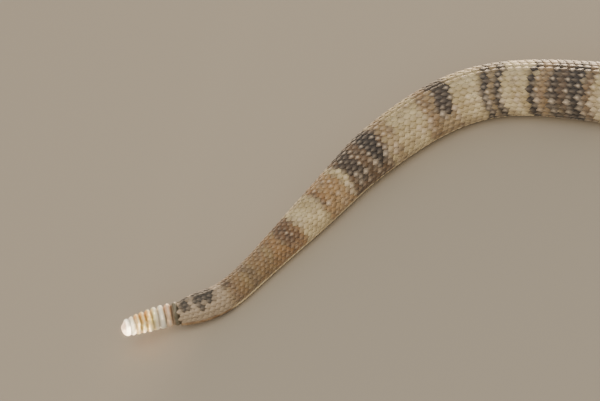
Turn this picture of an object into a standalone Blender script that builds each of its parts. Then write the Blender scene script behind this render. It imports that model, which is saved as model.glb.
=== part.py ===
"""A southwestern speckled rattlesnake, life size, lying on a level surface.

The animal is built along one curved route, measured in millimetres along its back from the tip of
the rattle to the snout. The flesh is a chain of lofted lengths that meet end to end, the rattle is
a row of fused horn segments, and the head is a finer loft with its mouth, eyes, nostrils and heat
pits cut in. The middle of its box stands over the origin and the belly rests at z = 0.
"""

import math

import bmesh
import bpy
import numpy as np
from mathutils import Matrix, Vector

MM = 0.001
GAP = 0.3
OBJECT_NAME = "speckled_rattlesnake"

# Where each length ends, in mm along the back from the rattle's tip
RATTLE_END = 28.5
VENT = 94.0
BODY_ENDS = [VENT, 220.0, 345.0, 470.0, 595.0, 720.0, 845.0]
HEAD_START = 908.0
SNOUT = 950.0
HEAD_LENGTH = SNOUT - HEAD_START

# The route: (distance, heading in degrees, turning left from +X)
HEADINGS = [
    (0, 6), (15, 4), (29, -12), (45, 4), (65, 28), (101, 27), (135, 30), (159, 21), (185, 12),
    (206, -2), (225, -21), (247, -38), (271, -45), (303, -47), (482, 55), (530, 55),
    (700, -38), (738, -38), (862, 22), (912, 6), (950, 6),
]
HEADING_BLUR = 11
ROUTE_START = (-408.8, -33.7)

# How far the belly leaves the floor at the two ends
TAIL_LIFT = 9.0
TAIL_LIFT_START = 60.0
TAIL_LIFT_POWER = 1.8
HEAD_LIFT = 7.0
HEAD_LIFT_START = 850.0
HEAD_LIFT_END = 908.0

# Width of the body over its scales: (distance, mm); its height is a share of that
WIDTHS = [
    (28, 11.2), (34, 13.0), (42, 14.6), (56, 14.3), (74, 14.8), (90, 16.5), (118, 19.8),
    (140, 21.9), (160, 24.6), (185, 26.2), (205, 27.4), (240, 28.2), (290, 30.2), (360, 32.0),
    (470, 33.5), (600, 32.5), (700, 30.0), (780, 26.0), (840, 21.5), (880, 17.5), (908, 16.0),
]
HEIGHT_SHARES = [
    (28, 1.10), (45, 0.97), (110, 0.92), (240, 0.88), (470, 0.85), (780, 0.88), (908, 0.92),
]
WIDEST_LEVEL = 0.45
BACK_POWER = 2.1
BELLY_POWER = 2.5
BELLY_SINK = 0.05
BODY_POINTS = 24
BODY_STEP = 9.0

# The head, from the neck joint (0) to the snout (42): mm
HEAD_WIDTHS = [
    (0, 16.0), (4, 19.8), (8, 26.0), (12, 29.6), (15, 30.2), (20, 27.6), (25, 23.8), (29, 20.8),
    (33, 18.4), (37, 16.4), (42, 14.4),
]
HEAD_TOPS = [
    (0, 14.7), (6, 16.2), (12, 17.2), (20, 17.2), (27, 16.4), (31, 15.2), (36, 14.0), (42, 13.2),
]
HEAD_CHINS = [(0, 0.0), (8, -0.5), (14, -0.6), (24, 0.2), (32, 1.0), (42, 2.0)]
HEAD_LEVELS = [(0, 0.45), (10, 0.40), (24, 0.42), (34, 0.48), (42, 0.50)]
HEAD_TOP_POWERS = [(0, 2.1), (14, 2.5), (30, 3.2), (42, 3.4)]
HEAD_CHIN_POWER = 2.3
SNOUT_ROUNDING = 4.6
SNOUT_TIP = 0.04
SNOUT_SIDE_POWER = 0.8
SNOUT_TOP_POWER = 0.6
HEAD_POINTS = 32
HEAD_STATIONS = 26
HEAD_STATION_POWER = 1.5

# The mouth line: (distance along the head, height)
MOUTH_LINE = [(9, 5.4), (14, 4.2), (20, 4.4), (27, 5.2), (34, 4.8), (38, 4.9), (44, 5.6)]
MOUTH_CORNER = 10.0
JAW_INSET = 0.35
MOUTH_POINTS = 16
CUTTER_REACH = (46.0, 30.0, -12.0)

EYE_RADIUS = 2.2
EYE_PLACE = (27.4, 8.9, 10.7)
PIT_RADIUS = 0.95
PIT_PLACE = (33.4, 8.6, 8.6)
NOSTRIL_RADIUS = 0.65
NOSTRIL_PLACE = (39.4, 6.6, 9.6)
BROW_SIZE = (5.2, 3.2, 1.0)
BROW_PLACE = (26.8, 7.6, 14.5)
BROW_TILT = 14.0

SEGMENTS = 9
SEGMENT_PITCHES = (3.75, 2.4)
SEGMENT_ROOT = 1.2
SEGMENT_ROOT_SIZE = 0.70
SEGMENT_POINTS = 20
SEGMENT_BELL = [
    (0.0, 0.80), (0.22, 0.96), (0.5, 1.0), (0.78, 0.94), (1.02, 0.80), (1.2, 0.58), (1.3, 0.34),
]
RATTLE_HEIGHTS = (13.4, 9.4)
RATTLE_WIDTH_SHARE = 0.64
RATTLE_GROOVE = 0.16
RATTLE_GROOVE_WIDTH = 0.3

COLOURS = {
    "back_skin": ((0.36, 0.29, 0.21), 0.55),
    "tail_skin": ((0.30, 0.28, 0.26), 0.55),
    "head_skin": ((0.40, 0.33, 0.25), 0.55),
    "jaw_skin": ((0.58, 0.52, 0.42), 0.5),
    "eye_cornea": ((0.30, 0.22, 0.12), 0.08),
    "rattle_horn": ((0.75, 0.58, 0.36), 0.35),
}


def through(knots, at):
    """A smooth value at each distance, through the knots with no overshoot between them."""
    x, y = np.array(knots, dtype=float).T
    step = np.diff(x)
    rise = np.diff(y) / step
    slope = np.zeros(len(x))
    for i in range(1, len(x) - 1):
        if rise[i - 1] * rise[i] > 0:
            before = 2 * step[i] + step[i - 1]
            after = step[i] + 2 * step[i - 1]
            slope[i] = (before + after) / (before / rise[i - 1] + after / rise[i])
    at = np.clip(np.asarray(at, dtype=float), x[0], x[-1])
    i = np.clip(np.searchsorted(x, at) - 1, 0, len(step) - 1)
    s = (at - x[i]) / step[i]
    start = (2 * s**3 - 3 * s**2 + 1) * y[i] + (s**3 - 2 * s**2 + s) * step[i] * slope[i]
    end = (3 * s**2 - 2 * s**3) * y[i + 1] + (s**3 - s**2) * step[i] * slope[i + 1]
    return start + end


def ease(s):
    s = np.clip(s, 0.0, 1.0)
    return s * s * (3 - 2 * s)


def lift(t):
    """Height of the belly line over the floor."""
    tail = TAIL_LIFT * np.clip(1 - t / TAIL_LIFT_START, 0, 1) ** TAIL_LIFT_POWER
    head = HEAD_LIFT * ease((t - HEAD_LIFT_START) / (HEAD_LIFT_END - HEAD_LIFT_START))
    return tail + head


def plan_of_route():
    """The route on the floor at every millimetre, with its headings in radians."""
    distance = np.arange(0.0, SNOUT + 1.0)
    heading = np.radians(through(HEADINGS, distance))
    blur = np.hanning(2 * HEADING_BLUR + 1)
    padded = np.pad(heading, HEADING_BLUR, mode="edge")
    heading = np.convolve(padded, blur / blur.sum(), "valid")
    steps = np.stack([np.cos(heading), np.sin(heading)], axis=1)
    places = np.cumsum((steps[:-1] + steps[1:]) / 2, axis=0)
    places = np.vstack([[0.0, 0.0], places]) + ROUTE_START
    return distance, places, heading


ROUTE = plan_of_route()


def frame_at(t):
    """Belly point, forward, left and up directions at a distance along the route."""
    distance, places, heading = ROUTE
    x = np.interp(t, distance, places[:, 0])
    y = np.interp(t, distance, places[:, 1])
    turn = np.interp(t, distance, heading)
    climb = lift(t + 0.5) - lift(t - 0.5)
    forward = Vector((math.cos(turn), math.sin(turn), float(climb))).normalized()
    left = Vector((-math.sin(turn), math.cos(turn), 0.0))
    return Vector((x, y, float(lift(t)))), forward, left, forward.cross(left)


def oval(half_width, level, top, bottom, top_power, bottom_power, count):
    """(side, up) points of a section whose widest level is given, from the belly round."""
    points = []
    for k in range(count):
        angle = 2 * math.pi * (k + 0.5) / count
        side, up = math.sin(angle), -math.cos(angle)
        power = top_power if up > 0 else bottom_power
        reach = (top - level) if up > 0 else (level - bottom)
        side = math.copysign(abs(side) ** (2 / power), side) * half_width
        points.append((side, level + math.copysign(abs(up) ** (2 / power), up) * reach))
    return points


def body_section(t):
    width = float(through(WIDTHS, t))
    height = width * float(through(HEIGHT_SHARES, t))
    level = height * WIDEST_LEVEL
    sunk = -BELLY_SINK * height
    points = oval(width / 2, level, height, sunk, BACK_POWER, BELLY_POWER, BODY_POINTS)
    return [(side, max(up, 0.0)) for side, up in points]


def head_section(d, inset=0.0):
    """Section of the head at d mm in front of the neck joint, its sides drawn in by the inset."""
    close = max(0.0, (d - (HEAD_LENGTH - SNOUT_ROUNDING)) / SNOUT_ROUNDING)
    shrink = math.sqrt(max(0.0, 1 - close**2))
    top, bottom = float(through(HEAD_TOPS, d)), float(through(HEAD_CHINS, d))
    level = bottom + (top - bottom) * float(through(HEAD_LEVELS, d))
    half_width = (float(through(HEAD_WIDTHS, d)) / 2 - inset) * shrink**SNOUT_SIDE_POWER
    top = level + (top - level) * shrink**SNOUT_TOP_POWER
    bottom = level + (bottom - level) * shrink**SNOUT_TOP_POWER
    power = float(through(HEAD_TOP_POWERS, d))
    return oval(half_width, level, top, bottom, power, HEAD_CHIN_POWER, HEAD_POINTS)


def ring_on_route(t, section):
    base, _, left, up = frame_at(t)
    return [(base + left * s + up * u) * MM for s, u in section]


def make_material(name):
    colour, roughness = COLOURS[name]
    material = bpy.data.materials.new(name)
    material.use_nodes = True
    shader = material.node_tree.nodes["Principled BSDF"]
    shader.inputs["Base Color"].default_value = (*colour, 1.0)
    shader.inputs["Roughness"].default_value = roughness
    material.diffuse_color = (*colour, 1.0)
    return material


def add_object(name, mesh, collection, material=None):
    made = bpy.data.objects.new(name, mesh)
    collection.objects.link(made)
    if material:
        mesh.materials.append(material)
    return made


def loft(name, rings, collection, material=None):
    """One closed body through rings of points, with flat ends."""
    count = len(rings[0])
    points = [point for ring in rings for point in ring]
    faces = [tuple(range(count)), tuple(range(len(points) - count, len(points)))]
    for row in range(len(rings) - 1):
        for k in range(count):
            here, beside = row * count + k, row * count + (k + 1) % count
            faces.append((here, beside, beside + count, here + count))
    mesh = bpy.data.meshes.new(name)
    mesh.from_pydata(points, [], faces)
    shape = bmesh.new()
    shape.from_mesh(mesh)
    bmesh.ops.recalc_face_normals(shape, faces=shape.faces)
    shape.to_mesh(mesh)
    shape.free()
    return add_object(name, mesh, collection, material)


def shade(made, degrees=40.0):
    made.data.shade_smooth()
    made.data.set_sharp_from_angle(angle=math.radians(degrees))


def apply_modifiers(made):
    graph = bpy.context.evaluated_depsgraph_get()
    graph.update()
    mesh = bpy.data.meshes.new_from_object(made.evaluated_get(graph))
    made.modifiers.clear()
    old, made.data = made.data, mesh
    bpy.data.meshes.remove(old)
    mesh.name = made.name


def keep_largest(made):
    """Leaves only the largest closed surface of a joined or cut mesh."""
    shape = bmesh.new()
    shape.from_mesh(made.data)
    left = set(shape.verts)
    groups = []
    while left:
        group, edge = set(), [left.pop()]
        while edge:
            point = edge.pop()
            group.add(point)
            near = {e.other_vert(point) for e in point.link_edges} & left
            left -= near
            edge.extend(near)
        groups.append(group)
    groups.sort(key=len)
    for group in groups[:-1]:
        bmesh.ops.delete(shape, geom=list(group), context="VERTS")
    shape.to_mesh(made.data)
    shape.free()


def combine(made, other, operation):
    """Cuts, joins or trims a mesh by one object, and keeps one closed surface."""
    tool = made.modifiers.new(operation.lower(), "BOOLEAN")
    tool.operation = operation
    tool.object = other
    apply_modifiers(made)
    keep_largest(made)


def fuse(name, pieces, collection, material):
    """Joins the objects of a collection into one closed node."""
    made = add_object(name, pieces.objects[0].data.copy(), collection)
    first = pieces.objects[0]
    pieces.objects.unlink(first)
    bpy.data.objects.remove(first)
    tool = made.modifiers.new("union", "BOOLEAN")
    tool.operation = "UNION"
    tool.operand_type = "COLLECTION"
    tool.collection = pieces
    apply_modifiers(made)
    keep_largest(made)
    for piece in list(pieces.objects):
        bpy.data.objects.remove(piece)
    bpy.data.collections.remove(pieces)
    made.data.materials.clear()
    made.data.materials.append(material)
    return made


def ball(name, collection, place, size, turn=None, segments=16):
    """A round solid; size is its three half lengths in mm, along, across and up the head."""
    mesh = bpy.data.meshes.new(name)
    shape = bmesh.new()
    bmesh.ops.create_uvsphere(shape, u_segments=segments, v_segments=segments // 2 + 2, radius=1.0)
    matrix = head_matrix() @ Matrix.Translation(Vector(place))
    if turn:
        matrix = matrix @ turn
    matrix = matrix @ Matrix.Diagonal((*size, 1.0))
    bmesh.ops.transform(shape, matrix=Matrix.Scale(MM, 4) @ matrix, verts=shape.verts)
    shape.to_mesh(mesh)
    shape.free()
    return add_object(name, mesh, collection)


def head_matrix():
    """From head coordinates (along, left, up) in mm to the route's."""
    base, forward, left, up = frame_at(HEAD_START)
    matrix = Matrix((forward, left, up)).transposed().to_4x4()
    matrix.translation = base
    return matrix


def length_of_body(name, start, end, collection, material):
    """One length of the flesh, with half of the joint's gap left at each end."""
    start, end = start + GAP / 2, end - GAP / 2
    count = max(3, round((end - start) / BODY_STEP) + 1)
    rings = [ring_on_route(t, body_section(t)) for t in np.linspace(start, end, count)]
    made = loft(name, rings, collection, material)
    shade(made)
    return made


def segment_rings(number):
    """The lobed bell of one rattle segment, its root sunk in the one nearer the tail."""
    pitches = np.linspace(*SEGMENT_PITCHES, SEGMENTS)
    front = RATTLE_END - GAP / 2 - float(pitches[:number].sum())
    base, tip = RATTLE_HEIGHTS
    half_height = (base + (tip - base) * (number / (SEGMENTS - 1)) ** 2) / 2
    places = [(front - along * float(pitches[number]), size) for along, size in SEGMENT_BELL]
    if number > 0:
        places.insert(0, (front + SEGMENT_ROOT, SEGMENT_ROOT_SIZE))
    return [ring_on_route(t, rattle_section(half_height * size)) for t, size in places]


def rattle_section(half_height):
    """A tall oval with a groove along each side, its middle on the tail's own middle."""
    middle = float(through(WIDTHS, RATTLE_END) * through(HEIGHT_SHARES, RATTLE_END)) / 2
    points = []
    for k in range(SEGMENT_POINTS):
        angle = 2 * math.pi * k / SEGMENT_POINTS
        side, up = math.sin(angle), math.cos(angle)
        pinch = 1 - RATTLE_GROOVE * math.exp(-((up / RATTLE_GROOVE_WIDTH) ** 2))
        points.append((side * pinch * half_height * RATTLE_WIDTH_SHARE, middle + up * half_height))
    return points


def make_rattle(collection, material):
    pieces = bpy.data.collections.new("rattle_segments")
    bpy.context.scene.collection.children.link(pieces)
    for number in range(SEGMENTS):
        loft(f"segment_{number}", segment_rings(number), pieces)
    made = fuse("rattle", pieces, collection, material)
    shade(made, 50.0)
    return made


def head_loft(name, collection, material, inset=0.0):
    """The whole head as one closed form, with stations closer together at the snout."""
    first, last = GAP / 2, HEAD_LENGTH - SNOUT_TIP - inset
    rings = []
    for k in range(HEAD_STATIONS):
        share = 1 - (1 - k / (HEAD_STATIONS - 1)) ** HEAD_STATION_POWER
        d = first + (last - first) * share
        section = head_section(d, inset)
        rings.append([head_matrix() @ Vector((d, s, u)) * MM for s, u in section])
    return loft(name, rings, collection, material)


def mouth_block(name, collection, rise, corner):
    """The space under the mouth line and in front of the mouth's corner."""
    front, wide, deep = CUTTER_REACH
    stations = np.linspace(corner, front, MOUTH_POINTS)
    outline = [(d, float(through(MOUTH_LINE, d)) + rise) for d in stations]
    outline += [(front, deep), (corner, deep)]
    rings = []
    for side in (-wide, wide):
        rings.append([head_matrix() @ Vector((d, side, u)) * MM for d, u in outline])
    return loft(name, rings, collection)


def mirrored(place, side):
    return (place[0], place[1] * side, place[2])


def make_head(collection, cutters, materials):
    head = head_loft("head", collection, materials["head_skin"])
    jaw = head_loft("lower_jaw", collection, materials["jaw_skin"], JAW_INSET)
    for side in (1, -1):
        tilt = Matrix.Rotation(math.radians(-BROW_TILT * side), 4, "X")
        place = mirrored(BROW_PLACE, side)
        combine(head, ball("brow_plate", cutters, place, BROW_SIZE, tilt), "UNION")
    below = mouth_block("mouth_space", cutters, GAP, MOUTH_CORNER)
    combine(head, below, "DIFFERENCE")
    combine(jaw, mouth_block("jaw_space", cutters, 0.0, MOUTH_CORNER + GAP), "INTERSECT")
    for side in (1, -1):
        for label, place, radius, segments in (
            ("eye_socket", EYE_PLACE, EYE_RADIUS + GAP, 16),
            ("heat_pit", PIT_PLACE, PIT_RADIUS, 12),
            ("nostril", NOSTRIL_PLACE, NOSTRIL_RADIUS, 10),
        ):
            cutter = ball(label, cutters, mirrored(place, side), (radius,) * 3, None, segments)
            combine(head, cutter, "DIFFERENCE")
    for made, material in ((head, "head_skin"), (jaw, "jaw_skin")):
        made.data.materials.clear()
        made.data.materials.append(materials[material])
        shade(made, 50.0)
    for side, label in ((1, "left"), (-1, "right")):
        eye = ball(f"eye_{label}", collection, mirrored(EYE_PLACE, side), (EYE_RADIUS,) * 3)
        eye.data.materials.append(materials["eye_cornea"])
        shade(eye, 80.0)


def new_collection(name):
    made = bpy.data.collections.new(name)
    bpy.context.scene.collection.children.link(made)
    return made


def main():
    for old in list(bpy.data.objects):
        bpy.data.objects.remove(old)
    parts = new_collection(OBJECT_NAME)
    cutters = new_collection("cutters")
    materials = {name: make_material(name) for name in COLOURS}
    make_rattle(parts, materials["rattle_horn"])
    length_of_body("tail", RATTLE_END, VENT, parts, materials["tail_skin"])
    for number, (start, end) in enumerate(zip(BODY_ENDS, BODY_ENDS[1:]), 1):
        length_of_body(f"body_{number}", start, end, parts, materials["back_skin"])
    length_of_body("neck", BODY_ENDS[-1], HEAD_START, parts, materials["back_skin"])
    make_head(parts, cutters, materials)
    for cutter in cutters.objects:
        cutter.hide_render = True
        cutter.display_type = "WIRE"


main()
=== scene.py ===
"""The looks of a life-size speckled rattlesnake: one skin, keeled scales, belly scutes and horn."""

import math
from collections import namedtuple

import bpy
import numpy as np
from mathutils import Matrix, Vector
from mathutils.bvhtree import BVHTree
from mathutils.kdtree import KDTree


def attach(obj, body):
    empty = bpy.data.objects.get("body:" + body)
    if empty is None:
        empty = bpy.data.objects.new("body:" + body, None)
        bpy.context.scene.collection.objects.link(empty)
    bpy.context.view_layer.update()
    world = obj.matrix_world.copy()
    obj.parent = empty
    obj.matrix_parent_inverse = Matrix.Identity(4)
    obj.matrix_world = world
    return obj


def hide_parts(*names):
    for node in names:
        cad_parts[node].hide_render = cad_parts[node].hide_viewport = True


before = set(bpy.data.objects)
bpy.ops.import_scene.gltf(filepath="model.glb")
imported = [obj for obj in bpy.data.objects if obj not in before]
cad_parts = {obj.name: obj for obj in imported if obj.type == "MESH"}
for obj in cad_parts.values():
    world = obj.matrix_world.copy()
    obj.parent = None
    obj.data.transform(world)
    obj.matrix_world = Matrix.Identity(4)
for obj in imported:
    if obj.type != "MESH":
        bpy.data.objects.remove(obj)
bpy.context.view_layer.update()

MM = 0.001
FLESH = ["head", "lower_jaw", "neck", "tail"] + [f"body_{n}" for n in range(1, 7)]

# The route and the body's sizes, as in the part's own source: mm along the back from the rattle's tip
RATTLE_END = 28.5
HEAD_START = 908.0
SNOUT = 950.0
HEAD_LENGTH = SNOUT - HEAD_START
HEADINGS = [
    (0, 6), (15, 4), (29, -12), (45, 4), (65, 28), (101, 27), (135, 30), (159, 21), (185, 12),
    (206, -2), (225, -21), (247, -38), (271, -45), (303, -47), (482, 55), (530, 55),
    (700, -38), (738, -38), (862, 22), (912, 6), (950, 6),
]
HEADING_BLUR = 11
ROUTE_START = (-408.8, -33.7)
TAIL_LIFT, TAIL_LIFT_START, TAIL_LIFT_POWER = 9.0, 60.0, 1.8
HEAD_LIFT, HEAD_LIFT_START, HEAD_LIFT_END = 7.0, 850.0, 908.0
WIDTHS = [
    (28, 11.2), (34, 13.0), (42, 14.6), (56, 14.3), (74, 14.8), (90, 16.5), (118, 19.8),
    (140, 21.9), (160, 24.6), (185, 26.2), (205, 27.4), (240, 28.2), (290, 30.2), (360, 32.0),
    (470, 33.5), (600, 32.5), (700, 30.0), (780, 26.0), (840, 21.5), (880, 17.5), (908, 16.0),
]
HEIGHT_SHARES = [
    (28, 1.10), (45, 0.97), (110, 0.92), (240, 0.88), (470, 0.85), (780, 0.88), (908, 0.92),
]
WIDEST_LEVEL, BACK_POWER, BELLY_POWER, BELLY_SINK = 0.45, 2.1, 2.5, 0.05
HEAD_WIDTHS = [
    (0, 16.0), (4, 19.8), (8, 26.0), (12, 29.6), (15, 30.2), (20, 27.6), (25, 23.8), (29, 20.8),
    (33, 18.4), (37, 16.4), (42, 14.4),
]
HEAD_TOPS = [
    (0, 14.7), (6, 16.2), (12, 17.2), (20, 17.2), (27, 16.4), (31, 15.2), (36, 14.0), (42, 13.2),
]
HEAD_CHINS = [(0, 0.0), (8, -0.5), (14, -0.6), (24, 0.2), (32, 1.0), (42, 2.0)]
HEAD_LEVELS = [(0, 0.45), (10, 0.40), (24, 0.42), (34, 0.48), (42, 0.50)]
HEAD_TOP_POWERS = [(0, 2.1), (14, 2.5), (30, 3.2), (42, 3.4)]
HEAD_CHIN_POWER = 2.3
SNOUT_ROUNDING, SNOUT_TIP, SNOUT_SIDE_POWER, SNOUT_TOP_POWER = 4.6, 0.04, 0.8, 0.6
MOUTH_LINE = [(9, 5.4), (14, 4.2), (20, 4.4), (27, 5.2), (34, 4.8), (38, 4.9), (44, 5.6)]
MOUTH_CORNER = 10.0
EYE_RADIUS, EYE_PLACE = 2.2, (27.4, 8.9, 10.7)
PIT_RADIUS, PIT_PLACE = 0.95, (33.4, 8.6, 8.6)
NOSTRIL_RADIUS, NOSTRIL_PLACE = 0.65, (39.4, 6.6, 9.6)
BROW_SIZE, BROW_PLACE, BROW_TILT = (5.2, 3.2, 1.0), (26.8, 7.6, 14.5), 14.0
SEGMENTS, SEGMENT_PITCHES, SEGMENT_ROOT, SEGMENT_ROOT_SIZE = 9, (3.75, 2.4), 1.2, 0.70
SEGMENT_BELL = [
    (0.0, 0.80), (0.22, 0.96), (0.5, 1.0), (0.78, 0.94), (1.02, 0.80), (1.2, 0.58), (1.3, 0.34),
]
RATTLE_HEIGHTS, RATTLE_WIDTH_SHARE = (13.4, 9.4), 0.64
RATTLE_GROOVE, RATTLE_GROOVE_WIDTH = 0.16, 0.3
JOINT_GAP = 0.3

# The coat: pitch of the scale rows along the body, and how many rows there are round the back
PITCHES = [
    (28, 2.5), (60, 2.8), (94, 3.1), (150, 3.6), (220, 4.1), (300, 4.5), (450, 4.9), (650, 4.7),
    (800, 4.0), (860, 3.0), (908, 2.5), (950, 2.5),
]
ROWS = [
    (28, 11), (60, 13), (94, 15), (130, 17), (180, 19), (250, 21), (330, 23), (420, 25), (700, 25),
    (800, 23), (870, 19), (908, 19), (950, 19),
]
LATTICE_END = 914.0
BACK_ROWS = 3
COAT_SHARE = 0.19
HEAD_COAT = 0.4
# The tail's end turns in by this depth over this length, and the coat follows with the rest
TUCK_DEPTH, TUCK_LENGTH, COAT_OVER_TUCK = 0.9, 1.6, 0.6

# One back scale: shares of the row's pitch and of the coat's thickness, from its root to its tip
SCALE_LENGTH, SCALE_OVERLAP, EDGE_OVERLAP = 1.5, 1.42, 1.1
SCALE_BOW, SCALE_RISE, SCALE_RISE_POWER, SCALE_CROWN = 0.10, 0.52, 1.15, 0.20
SCALE_PEAK, SCALE_ROOM_UNDER, SCALE_UNEVEN = 0.86, 0.8, 0.1
# SHEEN_WIDTH is the width of the painted highlight along each keel
KEEL_HEIGHT, KEEL_WIDTH, SHEEN_WIDTH = 0.28, 0.2, 0.3
SHOWN_BEHIND_MIDDLE, MARKING_DETAIL = 0.25, 0.3
SPOT_WIDTH, SPOT_PLACE, SPOT_LENGTH = 0.29, 0.64, 0.13
OUTLINE = [
    (0.0, 0.45), (0.15, 0.74), (0.38, 0.98), (0.56, 1.0), (0.74, 0.90), (0.88, 0.68), (1.0, 0.22),
]
SCALE_ACROSS = np.array([-1.0, -0.62, -0.24, 0.0, 0.24, 0.62, 1.0])
SCALE_ALONG = np.array([0.0, 0.2, 0.42, 0.64, 0.82, 0.94, 1.0])
PATCH = 0.003
HEAD_PATCH = 0.012
SEED = 20

# Camera: the photograph shows the rear third of the animal, from above its right side
CAMERA_TARGET = (-303.46, 18.31, 0.0)
CAMERA_ELEVATION, CAMERA_ROLL, CAMERA_DISTANCE = 38.0, 25.0, 1666.7
CAMERA_LENS, SENSOR = 200.0, 36.0


def through(knots, at):
    """A smooth value at each distance, through the knots with no overshoot between them."""
    x, y = np.array(knots, dtype=float).T
    step = np.diff(x)
    rise = np.diff(y) / step
    slope = np.zeros(len(x))
    for i in range(1, len(x) - 1):
        if rise[i - 1] * rise[i] > 0:
            before = 2 * step[i] + step[i - 1]
            after = step[i] + 2 * step[i - 1]
            slope[i] = (before + after) / (before / rise[i - 1] + after / rise[i])
    at = np.clip(np.asarray(at, dtype=float), x[0], x[-1])
    i = np.clip(np.searchsorted(x, at) - 1, 0, len(step) - 1)
    s = (at - x[i]) / step[i]
    start = (2 * s**3 - 3 * s**2 + 1) * y[i] + (s**3 - 2 * s**2 + s) * step[i] * slope[i]
    end = (3 * s**2 - 2 * s**3) * y[i + 1] + (s**3 - s**2) * step[i] * slope[i + 1]
    return start + end


def ease(s):
    s = np.clip(s, 0.0, 1.0)
    return s * s * (3 - 2 * s)


def bump(distance, width):
    """One at zero distance, falling smoothly to nothing well past the width."""
    return np.exp(-((distance / width) ** 2))


# The animal's route and its smooth skin, as arrays


def lift(t):
    """Height of the belly line over the floor."""
    tail = TAIL_LIFT * np.clip(1 - t / TAIL_LIFT_START, 0, 1) ** TAIL_LIFT_POWER
    head = HEAD_LIFT * ease((t - HEAD_LIFT_START) / (HEAD_LIFT_END - HEAD_LIFT_START))
    return tail + head


def plan_of_route():
    distance = np.arange(0.0, SNOUT + 1.0)
    heading = np.radians(through(HEADINGS, distance))
    blur = np.hanning(2 * HEADING_BLUR + 1)
    padded = np.pad(heading, HEADING_BLUR, mode="edge")
    heading = np.convolve(padded, blur / blur.sum(), "valid")
    steps = np.stack([np.cos(heading), np.sin(heading)], axis=1)
    places = np.cumsum((steps[:-1] + steps[1:]) / 2, axis=0)
    places = np.vstack([[0.0, 0.0], places]) + ROUTE_START
    return distance, places, heading


ROUTE = plan_of_route()


def frames_at(t):
    """Belly point, forward, left and up at each distance in mm; the head runs straight on."""
    t = np.asarray(t, dtype=float)
    on = np.minimum(t, HEAD_START)
    distance, places, heading = ROUTE
    turn = np.interp(on, distance, heading)
    climb = lift(on + 0.5) - lift(on - 0.5)
    forward = np.stack([np.cos(turn), np.sin(turn), climb], axis=-1)
    forward /= np.linalg.norm(forward, axis=-1, keepdims=True)
    left = np.stack([-np.sin(turn), np.cos(turn), np.zeros_like(turn)], axis=-1)
    base = np.stack(
        [np.interp(on, distance, places[:, 0]), np.interp(on, distance, places[:, 1]), lift(on)],
        axis=-1,
    )
    base = base + forward * (t - on)[..., None]
    return base, forward, left, np.cross(forward, left)


def in_head(points):
    """From head coordinates (along, left, up) in mm to the model's."""
    points = np.asarray(points, dtype=float)
    base, forward, left, up = frames_at(HEAD_START)
    return base + points[..., :1] * forward + points[..., 1:2] * left + points[..., 2:3] * up


def oval(half_width, level, top, bottom, top_power, bottom_power, angle):
    """(side, up) of a half section whose widest level is given; angle 0 is the back."""
    side, up = np.abs(np.sin(angle)), np.cos(angle)
    power = np.where(up > 0, top_power, bottom_power)
    reach = np.where(up > 0, top - level, level - bottom)
    up = np.where(np.abs(up) < 1e-9, 0.0, up)
    return side ** (2 / power) * half_width, level + np.sign(up) * np.abs(up) ** (2 / power) * reach


def body_half(t, angle):
    width = through(WIDTHS, t)
    height = width * through(HEIGHT_SHARES, t)
    level = height * WIDEST_LEVEL
    side, up = oval(width / 2, level, height, -BELLY_SINK * height, BACK_POWER, BELLY_POWER, angle)
    return side, np.maximum(up, 0.0)


def head_half(d, angle):
    close = np.clip((d - (HEAD_LENGTH - SNOUT_ROUNDING)) / SNOUT_ROUNDING, 0.0, 1.0)
    shrink = np.sqrt(1 - close**2)
    top, bottom = through(HEAD_TOPS, d), through(HEAD_CHINS, d)
    level = bottom + (top - bottom) * through(HEAD_LEVELS, d)
    half_width = through(HEAD_WIDTHS, d) / 2 * shrink**SNOUT_SIDE_POWER
    top = level + (top - level) * shrink**SNOUT_TOP_POWER
    bottom = level + (bottom - level) * shrink**SNOUT_TOP_POWER
    return oval(half_width, level, top, bottom, through(HEAD_TOP_POWERS, d), HEAD_CHIN_POWER, angle)


def coat_depth(t):
    """How far the skin lies inside the solids, which are as wide as the animal over its scales."""
    onto_head = ease((t - HEAD_START - 2.0) / 12.0)
    return COAT_SHARE * through(PITCHES, t) * (1 - onto_head) + HEAD_COAT * onto_head


def tucked(t):
    """How far the tail's end turns in, to meet the narrower rattle."""
    return TUCK_DEPTH * ease((RATTLE_END + TUCK_LENGTH - t) / TUCK_LENGTH)


SHARES, OUTLINE_STEPS = 65, 241
BELLY_WRAP, FLAT_BELLY = 3.0, 0.3
FINE_FROM, FINE_STATIONS = 945.0, 33
EDGE_BLUR = 41


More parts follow.
